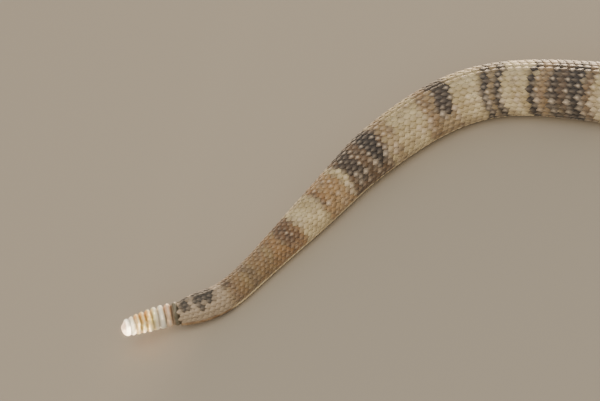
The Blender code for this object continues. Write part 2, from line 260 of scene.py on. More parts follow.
def skin_table():
    """Half outlines of the skin at many distances: side, up and their normals at equal shares round."""
    last = SNOUT - SNOUT_TIP
    stations = np.concatenate([
        np.arange(RATTLE_END - 1, HEAD_START, 1.0),
        np.arange(HEAD_START, FINE_FROM, 0.5),
        last - (last - FINE_FROM) * np.linspace(1, 0, FINE_STATIONS) ** 2,
    ])
    angle = np.linspace(0.0, np.pi, OUTLINE_STEPS)[None, :]
    t = stations[:, None]
    depth = coat_depth(t) + tucked(t)
    stretched = t - HEAD_START + HEAD_COAT * ease((t - HEAD_START - 30.0) / 11.9)
    mix = ease((t - HEAD_START + 4.0) / 8.0)
    body = body_half(np.minimum(t, HEAD_START), angle)
    head = head_half(np.clip(stretched, 0.0, HEAD_LENGTH - SNOUT_TIP), angle)
    side = body[0] * (1 - mix) + head[0] * mix
    up = body[1] * (1 - mix) + head[1] * mix
    ds, du = np.gradient(side, axis=1), np.gradient(up, axis=1)
    length = np.hypot(ds, du) + 1e-12
    out_side, out_up = -du / length, ds / length
    out_side[:, [0, -1]] = 0.0
    out_up[:, 0], out_up[:, -1] = 1.0, -1.0
    side = np.maximum(side - out_side * depth, 0.0)
    up = up - out_up * depth
    table = np.zeros((4, len(stations), SHARES))
    girth = np.zeros(len(stations))
    shares = np.linspace(0.0, 1.0, SHARES)
    for n in range(len(stations)):
        arc = np.concatenate([[0.0], np.cumsum(np.hypot(np.diff(side[n]), np.diff(up[n])))])
        girth[n] = arc[-1]
        for k, values in enumerate((side, up, out_side, out_up)):
            table[k, n] = np.interp(shares * arc[-1], arc, values[n])
    norm = np.hypot(table[2], table[3])
    table[2:] /= norm
    low = table[1, :, -1:] + FLAT_BELLY
    flat = np.argmax(table[1] < low, axis=1) / (SHARES - 1)
    edge = flat - BELLY_WRAP / np.maximum(girth, 8.0)
    blur = np.ones(EDGE_BLUR) / EDGE_BLUR
    edge = np.convolve(np.pad(edge, EDGE_BLUR // 2, mode="edge"), blur, "valid")
    return stations, table, edge


STATIONS, TABLE, EDGE = skin_table()


def belly_edge(t):
    """The share round the body at which the belly scutes begin."""
    return np.interp(t, STATIONS, EDGE)


def wrapped(share):
    """A share round the body brought between -1 and 1."""
    return (np.asarray(share) + 1.0) % 2.0 - 1.0


def surface(t, share, height=0.0):
    """Points in mm over the skin: share 0 is the back, 1 the belly, and plus is the left side."""
    t, share, height = np.broadcast_arrays(t, wrapped(share), height)
    place = np.interp(t, STATIONS, np.arange(len(STATIONS)))
    row = np.clip(place.astype(int), 0, len(STATIONS) - 2)
    row_part = place - row
    across = np.abs(share) * (SHARES - 1)
    column = np.clip(across.astype(int), 0, SHARES - 2)
    column_part = across - column
    near = TABLE[:, row, column] * (1 - column_part) + TABLE[:, row, column + 1] * column_part
    far = TABLE[:, row + 1, column] * (1 - column_part) + TABLE[:, row + 1, column + 1] * column_part
    side, up, out_side, out_up = near * (1 - row_part) + far * row_part
    side = np.where(share < 0, -1.0, 1.0) * (side + out_side * height)
    up = up + out_up * height
    base, _, left, upward = frames_at(t)
    return base + left * side[..., None] + upward * up[..., None]


# Markings, as shares from 0 to 1 at a distance along the body and a share round it

# (middle, half length on the back, half length low on the side, darkness, warmth, how far down)
SEEN_BANDS = [
    (31.6, 1.8, 0.9, 1.0, 0.0, 0.5), (41.0, 5.2, 5.2, 1.0, 0.0, 0.3), (39.6, 1.2, 1.1, 1.0, 0.0, 0.56),
    (44.6, 1.8, 1.3, 0.95, 0.0, 0.44), (55.2, 2.4, 1.4, 0.66, 0.1, 0.22), (59.5, 4.2, 4.0, 0.36, 0.45, 1.4),
    (68.0, 2.4, 3.4, 0.40, 0.1, 1.4), (75.0, 4.5, 5.0, 0.36, 0.5, 1.4), (86.0, 3.4, 5.6, 0.42, 0.85, 1.4),
    (96.0, 4.8, 4.4, 0.74, 0.5, 0.62), (95.5, 5.0, 6.5, 0.52, 0.9, 1.4), (119.8, 2.2, 2.2, 0.60, 0.7, 0.45),
    (126.5, 7.5, 8.5, 0.44, 1.0, 1.4), (143.5, 4.4, 4.0, 0.90, 0.2, 0.70),
    (150.5, 13.4, 13.6, 0.66, 0.35, 1.4), (158.5, 4.8, 3.8, 1.0, 0.1, 0.68),
    (168.5, 3.6, 3.2, 0.38, 0.5, 1.4), (193.5, 3.4, 4.4, 0.50, 0.5, 1.4),
    (203.5, 5.0, 4.4, 0.92, 0.2, 0.62), (201.5, 5.4, 8.0, 0.42, 0.5, 1.4), (228.5, 1.9, 2.3, 1.0, 0.05, 1.4),
    (232.6, 3.2, 3.2, 0.46, 0.2, 1.4), (236.8, 2.0, 2.2, 0.98, 0.05, 1.4), (256.4, 1.9, 2.4, 1.0, 0.2, 1.4),
    (262.4, 4.8, 4.2, 0.52, 0.4, 1.4), (269.6, 2.9, 3.2, 0.92, 0.2, 1.4), (274.6, 3.6, 3.2, 0.72, 0.2, 1.4),
    (281.2, 5.2, 5.0, 1.0, 0.0, 1.4), (288.8, 3.2, 3.2, 0.58, 0.35, 1.4),
]
# Where whitish spots line up across the body, as (middle, share of scales that have one)
SEEN_SPOTS = [
    (79.0, 0.2), (88.0, 0.3), (96.0, 0.3), (104.0, 0.3), (122.0, 0.5), (129.0, 0.6), (136.0, 0.5),
    (141.5, 0.7), (147.8, 0.8), (154.5, 0.9), (161.8, 0.8), (168.0, 0.8), (185.0, 0.4), (192.0, 0.7),
    (200.0, 0.6), (208.5, 0.8), (218.5, 0.8), (229.6, 0.9), (238.4, 0.9), (247.6, 1.0), (260.2, 1.0),
    (268.4, 1.0), (277.8, 0.9), (285.2, 1.0), (291.8, 0.8), (298.0, 0.8),
]
BAND_PERIOD, NEXT_BAND, LAST_BAND = 26.5, 308.0, 902.0
BAND_HALF, BAND_RIM, BAND_DARKNESS = 6.4, 2.3, 0.86
BAND_ROOM = [(300, 1.0), (600, 1.12), (902, 0.9)]
TAIL_GREY_END, TAIL_OLIVE_END = 56.0, 104.0
BAND_RAGGEDNESS, BAND_SOFTNESS = 2.4, 2.8
HEAD_COLOUR_START, HEAD_COLOUR_BLEND = 912.0, 12.0
# The dark band on each cheek: how far down and where along it passes, its slant, width and ends
CHEEK_DOWN, CHEEK_PLACE, CHEEK_SLANT, CHEEK_WIDTH = 0.56, 925.0, 0.009, 0.085
CHEEK_REAR, CHEEK_FRONT = 914.0, 937.0
# Dark patches on top of the head: how far down, how wide, where along and how long
NAPE_PATCHES = [(0.16, 0.09, 916.0, 6.0), (0.10, 0.08, 927.0, 3.0)]
FRECKLED_SHARE, FRECKLE_DARKNESS = 0.2, 0.75


def all_bands():
    """The bands that the photograph shows, then pairs of dark edges round a brown middle to the neck."""
    chance = np.random.default_rng(SEED)
    bands, spots = list(SEEN_BANDS), list(SEEN_SPOTS)
    middle = NEXT_BAND
    while middle < LAST_BAND:
        room = through(BAND_ROOM, middle)
        half = (BAND_HALF + chance.uniform(-0.8, 0.8)) * room
        dark = BAND_DARKNESS + chance.uniform(-0.1, 0.08)
        rim = BAND_RIM * room
        bands.append((middle - half + rim * 0.5, rim, rim * 0.9, dark, 0.1, 1.4))
        bands.append((middle, half * 0.8, half * 0.55, 0.5, 0.6, 1.4))
        bands.append((middle + half - rim * 0.5, rim, rim * 0.9, dark, 0.1, 1.4))
        for place in (-half - 1.5, 0.0, half + 1.5, half + 8.0 * room):
            spots.append((middle + place, 0.85))
        middle += (BAND_PERIOD + chance.uniform(-2.2, 2.2)) * room
    return bands, spots


BANDS, SPOTS = all_bands()


def wave(at, phase):
    """A slow irregular wave between about -1 and 1."""
    return (np.sin(at + phase) + np.sin(at * 2.3 + phase * 1.7) * 0.6) / 1.6


def low_flank(down):
    """One low on the side, above the belly's edge."""
    return ease((down - 0.36) / 0.18) * ease((0.90 - down) / 0.2)


def markings(t, share, chance):
    """The share of each marking at a place; chance is one number for each scale."""
    side_of_body = np.sign(wrapped(share))
    round_body = np.abs(wrapped(share))
    edge = belly_edge(t)
    down = np.clip(round_body / edge, 0.0, 1.3)
    head = ease((t - HEAD_COLOUR_START) / HEAD_COLOUR_BLEND)
    ragged = (chance - 0.5) * BAND_RAGGEDNESS
    dark, brown, warm, pale = (np.zeros(np.shape(t)) for _ in range(4))
    for n, (middle, back, side, depth, warmth, reach) in enumerate(BANDS):
        half = back + (side - back) * ease(down * 1.1)
        drift = wave(down * 4.0 + side_of_body * 0.8, n * 1.9) * min(1.4, back * 0.3)
        away = np.abs(t - middle - drift) - half
        inside = ease(0.5 - (away + ragged * 0.5) / BAND_SOFTNESS)
        inside = inside * ease(0.5 - (down - reach + ragged * 0.03) / 0.10)
        dark = np.maximum(dark, inside * np.clip((depth - 0.5) * 2.2, 0.0, 1.0))
        brown = np.maximum(brown, inside * np.clip(depth * 1.5, 0.0, 1.0))
        warm = np.maximum(warm, inside * warmth)
    for n, (middle, share_of_scales) in enumerate(SPOTS):
        drift = wave(down * 3.0 + side_of_body, n * 2.7) * 0.7
        column = np.minimum(1.6 * bump(t - middle - drift, 1.3), 1.0)
        some = ((chance * 7.3 + n * 0.37) % 1.0) < share_of_scales
        low = ease((down - 0.5) / 0.25)
        pale = np.maximum(pale, column * some * (1 - 0.35 * low) * ease((t - 60.0) / 80.0 + 0.3))
    belly = ease((round_body - edge + 0.01) / 0.05)
    fade = (1 - belly) * (1 - head)
    cheek = bump(down - CHEEK_DOWN + (t - CHEEK_PLACE) * CHEEK_SLANT, CHEEK_WIDTH)
    cheek = cheek * ease((t - CHEEK_REAR) / 4.0) * ease((CHEEK_FRONT - t) / 3.0)
    nape = sum(bump(down - low, wide) * bump(t - at, long) for low, wide, at, long in NAPE_PATCHES)
    freckle = FRECKLE_DARKNESS * ((chance * 5.7) % 1.0 > 1 - FRECKLED_SHARE)
    on_top = head * (1 - belly) * np.clip(cheek * 0.9 + nape * 0.8 + freckle * (1 - cheek), 0, 0.85)
    return {
        "dark": dark * fade + on_top * 0.35,
        "brown": brown * fade + on_top,
        "warm": warm * fade + on_top * 0.3,
        "pale": pale * (1 - belly),
        "streak": pale * low_flank(down) * fade,
        "belly": belly,
        "grey": ease((TAIL_GREY_END - t) / 6.0),
        "tail": ease((TAIL_OLIVE_END - t) / 8.0),
        "flank": ease((down - 0.25) / 0.7),
        "head": head,
    }


# Making meshes from arrays


def make_mesh(name, points, faces, attributes, uv=None):
    """A smooth mesh from points in mm and face arrays, one array for each number of corners."""
    mesh = bpy.data.meshes.new(name)
    points = np.asarray(points, dtype=np.float32).reshape(-1, 3) * MM
    mesh.vertices.add(len(points))
    mesh.vertices.foreach_set("co", points.ravel())
    corners = np.concatenate([f.ravel() for f in faces]).astype(np.int32)
    counts = np.concatenate([np.full(len(f), f.shape[1]) for f in faces])
    mesh.loops.add(len(corners))
    mesh.loops.foreach_set("vertex_index", corners)
    mesh.polygons.add(len(counts))
    starts = np.concatenate([[0], np.cumsum(counts)[:-1]]).astype(np.int32)
    mesh.polygons.foreach_set("loop_start", starts)
    mesh.update(calc_edges=True)
    mesh.shade_smooth()
    for label, values in attributes.items():
        layer = mesh.attributes.new(label, "FLOAT", "POINT")
        layer.data.foreach_set("value", np.asarray(values, dtype=np.float32).ravel())
    if uv is not None:
        layer = mesh.uv_layers.new(name="OFBake")
        layer.data.foreach_set("uv", uv.reshape(-1, 2)[corners].astype(np.float32).ravel())
    return mesh


def add_piece(name, mesh, material, nodes):
    """A finished piece that rides with the animal and stands for some of its solids."""
    made = bpy.data.objects.new(name, mesh)
    bpy.context.scene.collection.objects.link(made)
    mesh.materials.clear()
    mesh.materials.append(material)
    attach(made, "root")
    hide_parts(*nodes)
    return made


def repeated(faces, size, count):
    """The same faces for each of a number of like patches of points."""
    return (faces[None] + np.arange(count)[:, None, None] * size).reshape(-1, faces.shape[1])


def plates_mesh(name, points, under, masks, uv):
    """Closed plates from grids of points, each with a point sunk under it that its rim runs down to."""
    number, rows, columns = points.shape[:3]
    size = rows * columns
    middle = size // 2

    def joined(values, last=None):
        values = np.broadcast_to(values, points.shape[:3] + values.shape[3:])
        values = values.reshape(number, size, *values.shape[3:])
        last = values[:, middle] if last is None else last
        return np.concatenate([values, last[:, None]], axis=1)

    index = np.arange(size).reshape(rows, columns)
    quads = np.stack([index[:-1, :-1], index[:-1, 1:], index[1:, 1:], index[1:, :-1]], axis=-1)
    rim = np.concatenate([index[0, :-1], index[:-1, -1], index[-1, :0:-1], index[:0:-1, 0]])[::-1]
    fan = np.stack([rim, np.roll(rim, -1), np.full(rim.size, size)], axis=-1)
    faces = [repeated(quads.reshape(-1, 4), size + 1, number), repeated(fan, size + 1, number)]
    masks = {label: joined(values) for label, values in masks.items()}
    return make_mesh(name, joined(points, under), faces, masks, joined(uv))


def share_along(t):
    """The share of the way from the tail's end to the snout."""
    return (t - RATTLE_END) / (SNOUT - RATTLE_END)


def patch_uv(u, v, along, across, size):
    """Each scale as a small patch of the unwrapped skin, at its root's place."""
    place = np.stack([u + (0.5 - along) * size, v + across * size / 2], axis=-1)
    return 0.01 + 0.98 * place


# The skin


BODY_AROUND, HEAD_AROUND = 96, 192
SKIN_STEP = 1.5
GROOVE_DEPTH, GROOVE_WIDTH = 0.55, 0.45
PIT_DEPTH, NOSTRIL_DEPTH, EYE_RIM_DEPTH, EYE_RIM_OUT, EYE_RIM_WIDTH = 1.5, 1.1, 0.5, 0.25, 0.45
BROW_CREST, BROW_REACH_DOWN = 1.25, 1.9


def mirrored(place, side):
    """A place on the left for side 1, and its mirror image on the right for -1."""
    return np.array(place) * (1, side, 1)


def brow_raised(points):
    """Head points lifted onto the bony brow over each eye; points are (along, left, up)."""
    for side in (1, -1):
        tilt = math.radians(-BROW_TILT * side)
        centre = mirrored(BROW_PLACE, side)
        turn = np.array(Matrix.Rotation(tilt, 3, "X"))
        local = (points - centre) @ turn / np.array(BROW_SIZE)
        flat = local[..., 0] ** 2 + local[..., 1] ** 2
        top = BROW_CREST * np.sqrt(np.clip(1 - flat, 0.0, 1.0)) - HEAD_COAT / BROW_SIZE[2]
        below = ease((local[..., 2] + BROW_REACH_DOWN) / BROW_REACH_DOWN)
        local[..., 2] += np.where(flat < 1, np.maximum(top - local[..., 2], 0) * below, 0)
        points = local * np.array(BROW_SIZE) @ turn.T + centre
    return points


def head_grid():
    """Rings of points on the smooth head, in head coordinates, from the neck joint to the snout."""
    last = SNOUT - SNOUT_TIP - HEAD_START
    along = last * (1 - (1 - np.linspace(0, 1, 150)) ** 1.6)
    around = np.linspace(0, 2, HEAD_AROUND, endpoint=False)
    t, share = np.meshgrid(along + HEAD_START, around, indexing="ij")
    place = surface(t, share)
    base, forward, left, up = frames_at(HEAD_START)
    axes = np.stack([forward, left, up], axis=-1)
    local = (place - base) @ axes
    return brow_raised(local), t, share


def sculpted(points, normals):
    """Sinks the heat pits, nostrils, eye rims and mouth line into the head; also says how deep."""
    sink = np.zeros(points.shape[:-1])
    pit, nostril = (PIT_PLACE, PIT_RADIUS, PIT_DEPTH), (NOSTRIL_PLACE, NOSTRIL_RADIUS, NOSTRIL_DEPTH)
    for side in (1, -1):
        for place, radius, depth in (pit, nostril):
            away = np.linalg.norm(points - mirrored(place, side), axis=-1) / radius
            sink = np.maximum(sink, depth * ease((1.35 - away) / 0.7))
        away = np.linalg.norm(points - mirrored(EYE_PLACE, side), axis=-1)
        rim = bump(away - EYE_RADIUS - EYE_RIM_OUT, EYE_RIM_WIDTH)
        sink = np.maximum(sink, EYE_RIM_DEPTH * rim)
    above = points[..., 2] - through(MOUTH_LINE, points[..., 0])
    front = ease((points[..., 0] - MOUTH_CORNER) / 2.0)
    sink = np.maximum(sink, GROOVE_DEPTH * bump(above, GROOVE_WIDTH) * front)
    return points - normals * sink[..., None], sink


def grid_normals(points):
    """Outward normals of a closed ring grid."""
    along = np.gradient(points, axis=0)
    around = np.roll(points, -1, axis=1) - np.roll(points, 1, axis=1)
    normal = np.cross(along, around)
    return normal / (np.linalg.norm(normal, axis=-1, keepdims=True) + 1e-12)


def ring_faces(rings, around, start):
    """Quads between rings that close on themselves."""
    index = start + np.arange(rings * around).reshape(rings, around)
    beside = np.roll(index, -1, axis=1)
    return np.stack([index[:-1], index[1:], beside[1:], beside[:-1]], axis=-1).reshape(-1, 4)


def make_skin(material):
    """One closed skin from the rattle to the snout."""
    t = np.arange(RATTLE_END, HEAD_START - 0.2, SKIN_STEP)
    around = np.linspace(0, 2, BODY_AROUND, endpoint=False)
    t, share = np.meshgrid(t, around, indexing="ij")
    body = surface(t, share)
    local, sunk = sculpted(HEAD_POINTS, HEAD_NORMALS)
    points = np.concatenate([body.reshape(-1, 3), in_head(local).reshape(-1, 3)])
    all_t = np.concatenate([t.ravel(), HEAD_T.ravel()])
    all_share = np.concatenate([share.ravel(), HEAD_SHARE.ravel()])
    joint = (len(t) - 1) * BODY_AROUND
    first_head = body.shape[0] * BODY_AROUND
    k = np.arange(BODY_AROUND)
    near, beside = joint + k, joint + (k + 1) % BODY_AROUND
    far = first_head + 2 * k
    seam = np.stack(
        [near, far, far + 1, first_head + (2 * k + 2) % HEAD_AROUND, beside], axis=-1
    )
    ends = [
        np.arange(BODY_AROUND).reshape(1, -1),
        np.arange(len(points) - HEAD_AROUND, len(points))[::-1].reshape(1, -1),
    ]
    faces = [
        ring_faces(len(t), BODY_AROUND, 0),
        ring_faces(len(HEAD_T), HEAD_AROUND, first_head),
        seam,
        *ends,
    ]
    masks = markings(all_t, all_share, np.full(all_t.shape, 0.5))
    # How deep each point is sunk, which the skin's material darkens as painted shade
    masks["sunk"] = np.concatenate([np.zeros(first_head), sunk.ravel()])
    masks["chance"] = np.full(all_t.shape, 0.5)
    uv = np.stack([share_along(all_t), all_share / 2], axis=-1)
    mesh = make_mesh("skin", points, faces, masks, uv)
    return add_piece("skin", mesh, material, FLESH)


# The coat of scales over the body


def row_places():
    """Distance along the body of each scale row, by its number."""
    grid = np.arange(RATTLE_END, LATTICE_END, 0.25)
    count = np.concatenate([[0.0], np.cumsum(0.25 / through(PITCHES, grid))[:-1]])
    return grid, count


def row_step(t):
    """Spacing of the scale rows as a share round the body."""
    return 2 * belly_edge(t) / through(ROWS, t)


def scale_centres(chance):
    """Distance, row number, half width in rows and chance of each back scale."""
    grid, count = row_places()
    found = []
    for row in range(-13, 14):
        numbers = np.arange(0.2 + 0.5 * (row % 2), count[-1])
        t = np.interp(numbers, count, grid)
        reach = belly_edge(t) / row_step(t)
        inner = abs(row) - 0.5
        lowest = abs(row) + 0.5 > reach - 0.45
        outer = np.where(lowest, reach, abs(row) + 0.5)
        kept = inner < reach - 0.45
        middle = np.sign(row) * (inner + outer) / 2
        half = (outer - inner) / 2 * np.where(lowest, EDGE_OVERLAP, SCALE_OVERLAP)
        luck = chance.random((len(t), 3))
        rows = np.stack([t, np.full(len(t), row), middle, half], axis=1)
        found.append(np.hstack([rows, luck])[kept])
    return np.concatenate(found)


def back_scales(centres, name, material):
    """Keeled scales as closed plates, root under the one ahead and tip free toward the tail."""
    t_mid, row, middle, half = (centres[:, k, None, None] for k in range(4))
    luck = centres[:, 4:]
    along, across = SCALE_ALONG[None, :, None], SCALE_ACROSS[None, None, :]
    along, across = np.broadcast_arrays(along, across)
    pitch = through(PITCHES, t_mid)
    thick = coat_depth(np.minimum(t_mid, HEAD_START)) / SCALE_PEAK
    length = pitch * SCALE_LENGTH * (1 + (luck[:, 1, None, None] - 0.5) * SCALE_UNEVEN)
    bowed = along - SCALE_BOW * across**2 * along**2
    t = t_mid + (0.5 - bowed) * length
    reach = through(OUTLINE, along[0, :, 0])[None, :, None]
    share = (middle + across * half * reach) * row_step(t)
    low_rows = np.abs(middle) / (through(ROWS, t_mid) / 2)
    keel = KEEL_HEIGHT * (1 - ease((low_rows - 0.70) / 0.22))
    height = 0.02 + SCALE_RISE * along**SCALE_RISE_POWER - SCALE_CROWN * across**2 * (0.5 + along)
    height = height + keel * bump(across, KEEL_WIDTH) * ease(along / 0.4) * (1 - 0.4 * along**4)
    height = height + (luck[:, 2, None, None] - 0.5) * SCALE_UNEVEN * along
    points = surface(t, share, height * thick + COAT_OVER_TUCK * tucked(t))
    root_share = middle * row_step(t_mid)
    under = surface(t_mid, root_share, -SCALE_ROOM_UNDER * thick)[:, 0, 0]
    chance = np.broadcast_to(luck[:, 0, None, None], t.shape)
    shown = t_mid - SHOWN_BEHIND_MIDDLE * pitch
    marked_t = shown + (t - shown) * MARKING_DETAIL
    masks = markings(marked_t, root_share + (share - root_share) * MARKING_DETAIL, chance)
    masks["along"] = along
    # Painted highlight: the share of pale laid along the keel
    masks["ridge"] = bump(across, SHEEN_WIDTH)
    masks["spot"] = bump(across, SPOT_WIDTH) * bump(along - SPOT_PLACE, SPOT_LENGTH)
    masks["chance"] = chance
    uv = patch_uv(share_along(t_mid), 0.5 + root_share / 2, along, across, PATCH)
    mesh = plates_mesh(name, points, under, masks, uv)
    return add_piece(name, mesh, material, FLESH)


def make_back_scales(material):
    """The coat in three pieces: the rows of the back, and those of each side."""
    chance = np.random.default_rng(SEED + 1)
    centres = scale_centres(chance)
    row = centres[:, 1]
    for name, chosen in (
        ("scales_of_back", np.abs(row) <= BACK_ROWS),
        ("scales_of_left_side", row > BACK_ROWS),
        ("scales_of_right_side", row < -BACK_ROWS),
    ):
        back_scales(centres[chosen], name, material)


SCUTE_ALONG = np.array([0.0, 0.35, 0.7, 0.92, 1.0])
SCUTE_ACROSS = np.linspace(-1, 1, 19)
SCUTE_LENGTH, SCUTE_BOW, SCUTE_INSET = 1.35, 0.16, 0.012
SCUTE_ROOT, SCUTE_RISE, SCUTE_ROUNDING, SCUTE_THIN_ENDS = 0.12, 0.62, 0.10, 0.75


def make_belly_scutes(material):
    """One wide smooth scute across the belly for each row of scales, its free edge to the rear."""
    grid, count = row_places()
    t_mid = np.interp(np.arange(0.4, count[-1] - 3), count, grid)[:, None, None]
    along, across = np.broadcast_arrays(SCUTE_ALONG[None, :, None], SCUTE_ACROSS[None, None, :])
    length = through(PITCHES, t_mid) * SCUTE_LENGTH
    t = t_mid + (0.5 - along + SCUTE_BOW * across**2) * length
    edge = belly_edge(t) - SCUTE_INSET
    share = 1 + across * (1 - edge)
    thick = coat_depth(np.minimum(t_mid, HEAD_START))
    height = SCUTE_ROOT + SCUTE_RISE * along - SCUTE_ROUNDING * along**6
    height = height * (1 - SCUTE_THIN_ENDS * np.abs(across) ** 6) * thick
    points = surface(t, share, height + COAT_OVER_TUCK * tucked(t))
    under = surface(t_mid, 1.0, -SCALE_ROOM_UNDER * thick)[:, 0, 0]
    chance = np.random.default_rng(SEED + 2).random((len(t_mid), 1, 1)) * np.ones(t.shape)
    masks = markings(t, share, chance)
    masks["along"] = along
    masks["chance"] = chance
    uv = np.stack([share_along(t), share / 2 % 1.0], axis=-1)
    mesh = plates_mesh("belly_scutes", points, under, masks, uv)
    return add_piece("belly_scutes", mesh, material, FLESH)


# The head's plates and granules

HEAD_SCALES_FROM = 6.5
THROAT_SCALES_FROM = 2.5
LABIALS = 15
ROSTRAL_HALF, MENTAL_HALF = 1.5, 1.1
CELL_CORNERS = 18
CELL_GAP, CELL_REACH, SMALLEST_CELL = 0.09, 5.5, 0.25
# Rings of one plate from its rim to its middle: share of its radius, and height in mm
RINGS = [(1.0, -0.12), (0.94, 0.14), (0.78, 0.29), (0.45, 0.37), (0.0, 0.39)]
PLATE_POINTS = CELL_CORNERS * (len(RINGS) - 1) + 1
RELAXING = 8
PLATE_THICKNESS = {"lip": 0.85, "flat": 0.8, "brow": 1.15, "ocular": 0.8, "granule": 1.0}
PLATE_TILT, GRANULE_TILT, REAR_TILT, REAR_KEEL, MOST_GROWN = 0.03, 0.14, 0.10, 0.24, 1.15
GRANULE_KEEL_WIDTH, GRANULE_SHEEN_WIDTH = 0.28, 0.35
LIP_RISES = (0.85, 1.7)
HOLE_RADII = {NOSTRIL_PLACE: 0.42, PIT_PLACE: 0.62}
# The larger plates on top of the snout's left half, each by the places that it grows from
SNOUT_PLATES = [
    [(40.9, 4.6, 9.4)],
    [(37.9, 7.4, 9.9)],
    [(39.9, 1.5, 14.0), (39.2, 2.7, 13.8)],
    [(37.0, 4.4, 14.2), (36.2, 5.0, 14.0)],
    [(33.8, 5.8, 14.8), (32.6, 6.2, 14.8)],
]
CHIN_PLATE = [(36.0, 1.5, 1.0), (34.4, 1.5, 0.9), (32.8, 1.6, 0.7)]
EYE_RING_ANGLES = (26, 2, -22, -46, -70, -94, -118, -142, -166, -190, -212)
PIT_RING, INNER_SOCKET, OUTER_SOCKET, EYE_RING = 1.75, 1.1, 2.0, 2.95
GRANULE_SIZES = [(6, 2.4), (14, 2.3), (22, 2.0), (28, 1.75), (36, 1.8), (42, 1.7)]


def lip_line():
    """Points along the left half of the mouth line, from the middle of the snout backward."""
    found = []
    for ring in HEAD_POINTS:
        left = ring[: HEAD_AROUND // 2 + 1]
        above = left[:, 2] - through(MOUTH_LINE, left[:, 0])
        crossing = np.nonzero((above[:-1] > 0) & (above[1:] <= 0))[0]
        if left[0, 0] >= MOUTH_CORNER and len(crossing):
            k = crossing[0]
            part = above[k] / (above[k] - above[k + 1])
            found.append(left[k] + (left[k + 1] - left[k]) * part)
    found = np.array(found)[::-1]
    return np.vstack([found[0] * (1, 0, 1), found])


def at_lip(arc, rise, side):
    """A place on the lip this far from the middle of the snout, raised or lowered from it."""
    lengths = np.concatenate([[0.0], np.cumsum(np.linalg.norm(np.diff(LIP, axis=0), axis=1))])
    place = [np.interp(arc, lengths, LIP[:, k]) for k in range(3)]
    return np.array([place[0], place[1] * side, place[2] + rise])


def on_head(place):
    """The nearest point of the smooth head, and the way out of it."""
    point, normal, _, _ = HEAD_TREE.find_nearest(Vector(place))
    outward = np.array(point) - np.array([np.clip(point[0], 6.0, 34.0), 0.0, 8.0])
    normal = np.array(normal)
    return np.array(point), normal if normal @ outward > 0 else -normal


def ring_of(place, radius, angles):
    """Places round a centre on the side of the head; 0 is forward and 90 is up."""
    turns = np.radians(angles)
    offsets = np.stack([np.cos(turns), np.zeros(len(turns)), np.sin(turns)], axis=1) * radius
    return [np.array(place) + offset for offset in offsets]


def named_plates():
    """Places of the plates that every rattlesnake's head has: (kind, [places]); None is a hole."""
    plates = [("lip", [at_lip(0.0, rise, 1) for rise in (0.9, 2.0, 3.0)])]
    plates.append(("lip", [at_lip(0.0, -1.3, 1)]))
    for side in (1, -1):
        room = LIP_LENGTH - ROSTRAL_HALF - 0.5
        for n in range(LABIALS):
            share = (n + 0.5) / LABIALS
            arc = ROSTRAL_HALF + room * share
            plates.append(("lip", [at_lip(arc, rise, side) for rise in LIP_RISES]))
            arc = MENTAL_HALF + (room + ROSTRAL_HALF - MENTAL_HALF) * share
            plates.append(("lip", [at_lip(arc, -rise, side) for rise in LIP_RISES]))
        for places in SNOUT_PLATES:
            plates.append(("flat", [mirrored(place, side) for place in places]))
        brow = [
            mirrored(BROW_PLACE, side) + (along, out * side, 1.5)
            for along in np.linspace(-2.5, 2.7, 5)
            for out in (-1.0, 0.0, 0.9)
        ]
        plates.append(("brow", brow))
        for centre, radius in HOLE_RADII.items():
            middle = mirrored(centre, side)
            hole = [middle] + ring_of(middle, radius, range(0, 360, 60))
            plates.append((None, hole))
        for place in ring_of(mirrored(PIT_PLACE, side), PIT_RING, range(20, 380, 52)):
            plates.append(("flat", [place]))
        eye = mirrored(EYE_PLACE, side)
        socket = ring_of(eye, INNER_SOCKET, range(0, 360, 60))
        plates.append((None, [eye] + socket + ring_of(eye, OUTER_SOCKET, range(0, 360, 30))))
        for place in ring_of(eye, EYE_RING, EYE_RING_ANGLES):
            plates.append(("ocular", [place]))
        plates.append(("flat", [mirrored(place, side) for place in CHIN_PLATE]))
    return plates


def granule_size(place):
    """Spacing of the small scales at places on the head."""
    along, side, up = place[..., 0], np.abs(place[..., 1]), place[..., 2]
    size = through(GRANULE_SIZES, along)
    return size + 0.5 * ease((5.0 - up) / 4.0)


# Places along the head, and where each is counted as
DRAWN_OUT = [(0.0, 6.2), (10.0, 13.2), (20.0, 20.9), (26.0, 26.0), (50.0, 50.0)]


def drawn_out(places):
    """Places with the rear of the head squeezed, so that cells grown there come out longer."""
    places = np.array(places, dtype=float)
    places[..., 0] = np.interp(places[..., 0], *np.array(DRAWN_OUT).T)
    return places


